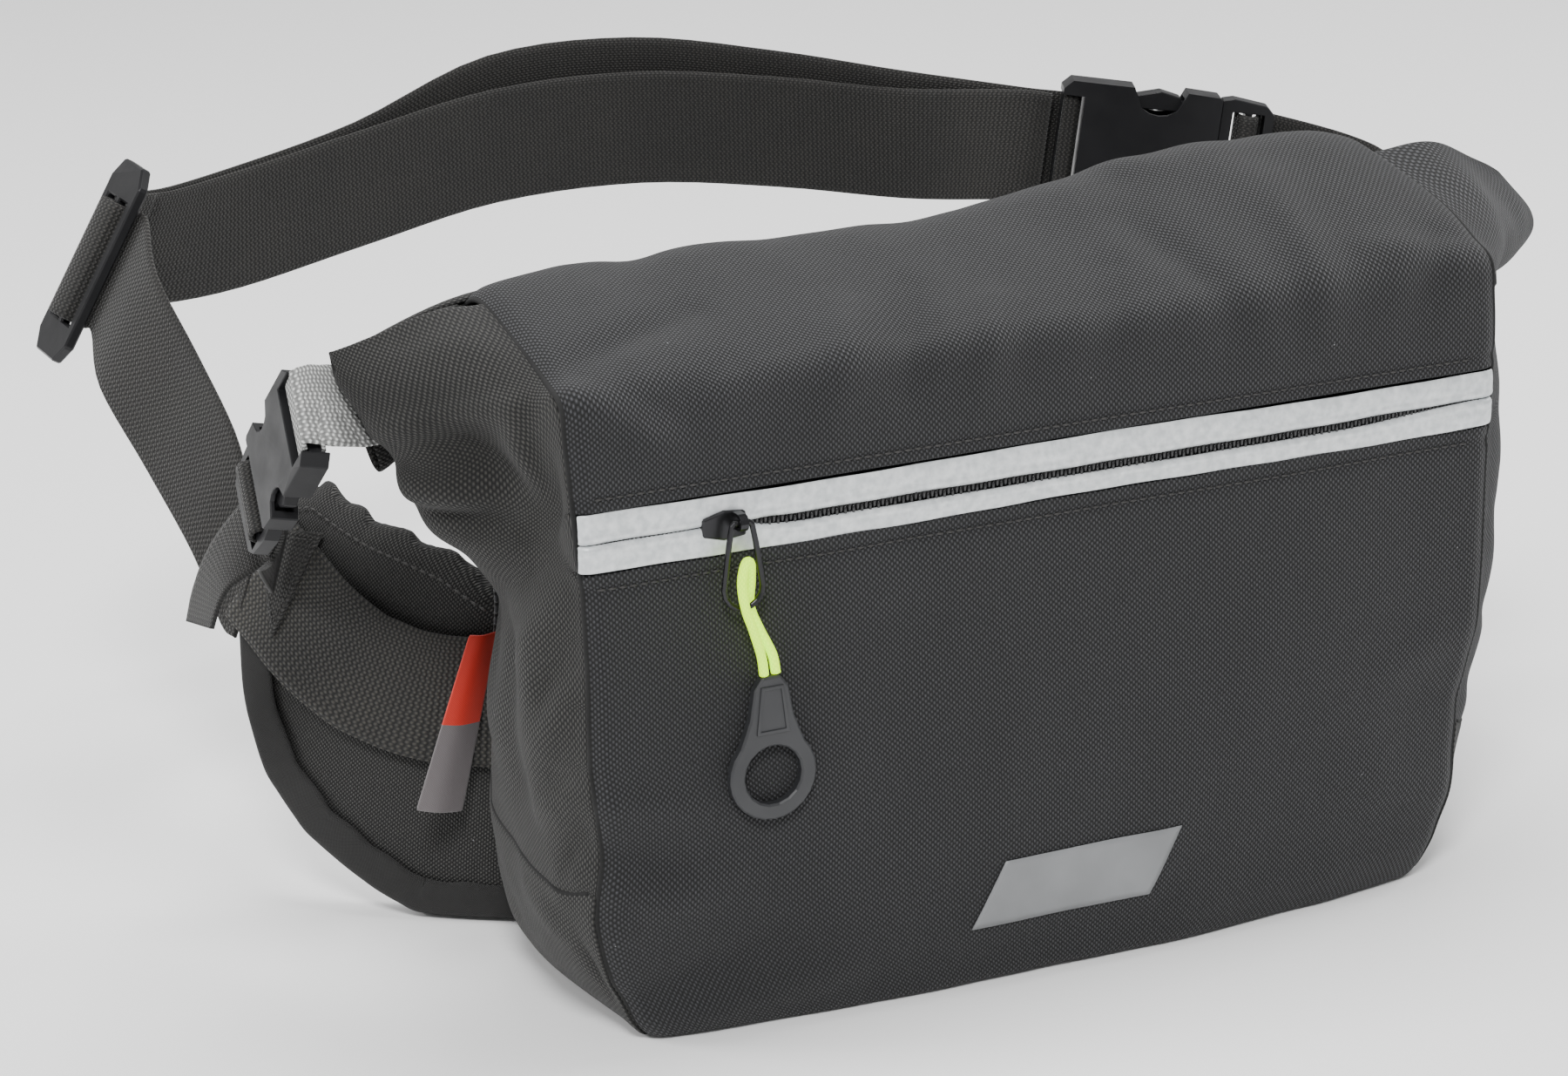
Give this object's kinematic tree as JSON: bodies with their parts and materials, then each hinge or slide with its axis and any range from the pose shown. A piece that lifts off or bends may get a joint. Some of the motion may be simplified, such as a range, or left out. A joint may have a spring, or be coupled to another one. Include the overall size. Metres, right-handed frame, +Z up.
{
  "type": "roll-top waist bag",
  "caption": "Roll-top waist bag with a zipped front pocket, padded hip wings, side compression buckles and an adjustable quick-release waist belt.",
  "frame": {"origin": "centre of the bottom panel's underside, on the surface that the bag stands on", "axes": "+X to the right as the front is looked at, +Y towards the wearer, +Z up"},
  "size_m": [0.4941, 0.3676, 0.217],
  "materials": {
    "body_fabric": "charcoal woven polyester, coated inside",
    "lining": "smooth coated lining",
    "foam": "closed-cell foam",
    "black_webbing": "ribbed black webbing",
    "grey_webbing": "light grey ribbed webbing",
    "reflective": "silver reflective tape",
    "coil": "black nylon coil",
    "slider": "black painted metal",
    "neon_cord": "braided neon cord",
    "ring_rubber": "matt moulded rubber",
    "buckle": "satin moulded plastic",
    "binding": "smooth black binding tape",
    "label": "woven label, two colours",
    "board": "flexible sheet"
  },
  "bodies": {
    "bag": {"back_foam": "foam", "back_mesh": "body_fabric", "back_panel": "body_fabric", "back_upper": "body_fabric", "base_board": "board", "belt_adjuster": "buckle", "belt_socket": "buckle", "belt_web_left": "black_webbing", "belt_web_return": "black_webbing", "belt_web_right": "black_webbing", "bottom_panel": "body_fabric", "front_panel_lower": "body_fabric", "front_panel_upper": "body_fabric", "front_patch": "reflective", "inner_liner": "lining", "mouth_stiffener": "board", "pocket_wall": "lining", "roll_top": "body_fabric", "side_gusset_left": "body_fabric", "side_gusset_right": "body_fabric", "side_label": "label", "side_socket_left": "buckle", "side_socket_right": "buckle", "side_strap_left": "black_webbing", "side_strap_right": "black_webbing", "side_webbing_left": "grey_webbing", "side_webbing_right": "grey_webbing", "strap_anchor_left": "black_webbing", "strap_anchor_right": "black_webbing", "wing_binding_left": "binding", "wing_binding_right": "binding", "wing_pad_left": "body_fabric", "wing_pad_right": "body_fabric", "wing_webbing_left": "black_webbing", "wing_webbing_right": "black_webbing", "zip_coil": "coil", "zip_tape_lower": "reflective", "zip_tape_upper": "reflective"},
    "slider": {"zip_slider": "slider", "slider_bridge": "slider"},
    "bail": {"pull_bail": "slider"},
    "pull": {"ring_pull": "ring_rubber", "pull_cord": "neon_cord"},
    "belt_tongue": {"belt_plug": "buckle"},
    "belt_prong_a": {"belt_latch_a": "buckle"},
    "belt_prong_b": {"belt_latch_b": "buckle"},
    "left_tongue": {"side_plug_left": "buckle"},
    "left_prong_a": {"side_latch_left_a": "buckle"},
    "left_prong_b": {"side_latch_left_b": "buckle"},
    "right_tongue": {"side_plug_right": "buckle"},
    "right_prong_a": {"side_latch_right_a": "buckle"},
    "right_prong_b": {"side_latch_right_b": "buckle"}
  },
  "joints": [
    {"name": "zip_slide", "type": "slide", "parent": "bag", "child": "slider", "axis": [1, 0, 0], "range_m": [-0.028, 0.232]},
    {"name": "bail_swing", "type": "hinge", "parent": "slider", "child": "bail", "pos_m": [-0.1006, -0.059, 0.1515], "axis": [-1, 0, 0], "range_deg": [0, 150]},
    {"name": "pull_swing", "type": "hinge", "parent": "bail", "child": "pull", "pos_m": [-0.1006, -0.059, 0.127], "axis": [-1, 0, 0], "range_deg": [0, 75], "deforming": ["pull_cord"]},
    {"name": "belt_release", "type": "slide", "parent": "bag", "child": "belt_tongue", "axis": [0.9095, -0.3902, -0.1431], "range_m": [0, 0.045], "deforming": ["belt_latch_a", "belt_latch_b", "belt_web_right"]},
    {"name": "belt_squeeze_a", "type": "hinge", "parent": "belt_tongue", "child": "belt_prong_a", "pos_m": [0.21611, 0.22122, 0.17596], "axis": [-0.3943, -0.919, 0.0002], "range_deg": [0, 6], "stiffness_Nm_per_rad": 0.05},
    {"name": "belt_squeeze_b", "type": "hinge", "parent": "belt_tongue", "child": "belt_prong_b", "pos_m": [0.21084, 0.22347, 0.13637], "axis": [-0.3943, -0.919, 0.0002], "range_deg": [-6, 0], "stiffness_Nm_per_rad": 0.05},
    {"name": "left_release", "type": "slide", "parent": "bag", "child": "left_tongue", "axis": [-0.1651, 0.6402, -0.7503], "range_m": [0, 0.024], "deforming": ["side_latch_left_a", "side_latch_left_b", "side_strap_left"]},
    {"name": "left_squeeze_a", "type": "hinge", "parent": "left_tongue", "child": "left_prong_a", "pos_m": [-0.20277, 0.03974, 0.16033], "axis": [0.9764, -0.0011, -0.2158], "range_deg": [0, 9], "stiffness_Nm_per_rad": 0.02},
    {"name": "left_squeeze_b", "type": "hinge", "parent": "left_tongue", "child": "left_prong_b", "pos_m": [-0.20575, 0.0233, 0.14696], "axis": [0.9764, -0.0011, -0.2158], "range_deg": [-9, 0], "stiffness_Nm_per_rad": 0.02},
    {"name": "right_release", "type": "slide", "parent": "bag", "child": "right_tongue", "axis": [-0.0599, 0.6594, -0.7494], "range_m": [0, 0.024], "deforming": ["side_latch_right_a", "side_latch_right_b", "side_strap_right"]},
    {"name": "right_squeeze_a", "type": "hinge", "parent": "right_tongue", "child": "right_prong_a", "pos_m": [0.18741, 0.05897, 0.15575], "axis": [0.9934, 0.1131, 0.02], "range_deg": [0, 9], "stiffness_Nm_per_rad": 0.02},
    {"name": "right_squeeze_b", "type": "hinge", "parent": "right_tongue", "child": "right_prong_b", "pos_m": [0.1895, 0.04306, 0.14158], "axis": [0.9934, 0.1131, 0.02], "range_deg": [-9, 0], "stiffness_Nm_per_rad": 0.02}
  ],
  "couplings": [
    {"joint": "belt_squeeze_b", "follows": "belt_squeeze_a", "ratio": -1},
    {"joint": "left_squeeze_b", "follows": "left_squeeze_a", "ratio": -1},
    {"joint": "right_squeeze_b", "follows": "right_squeeze_a", "ratio": -1}
  ]
}
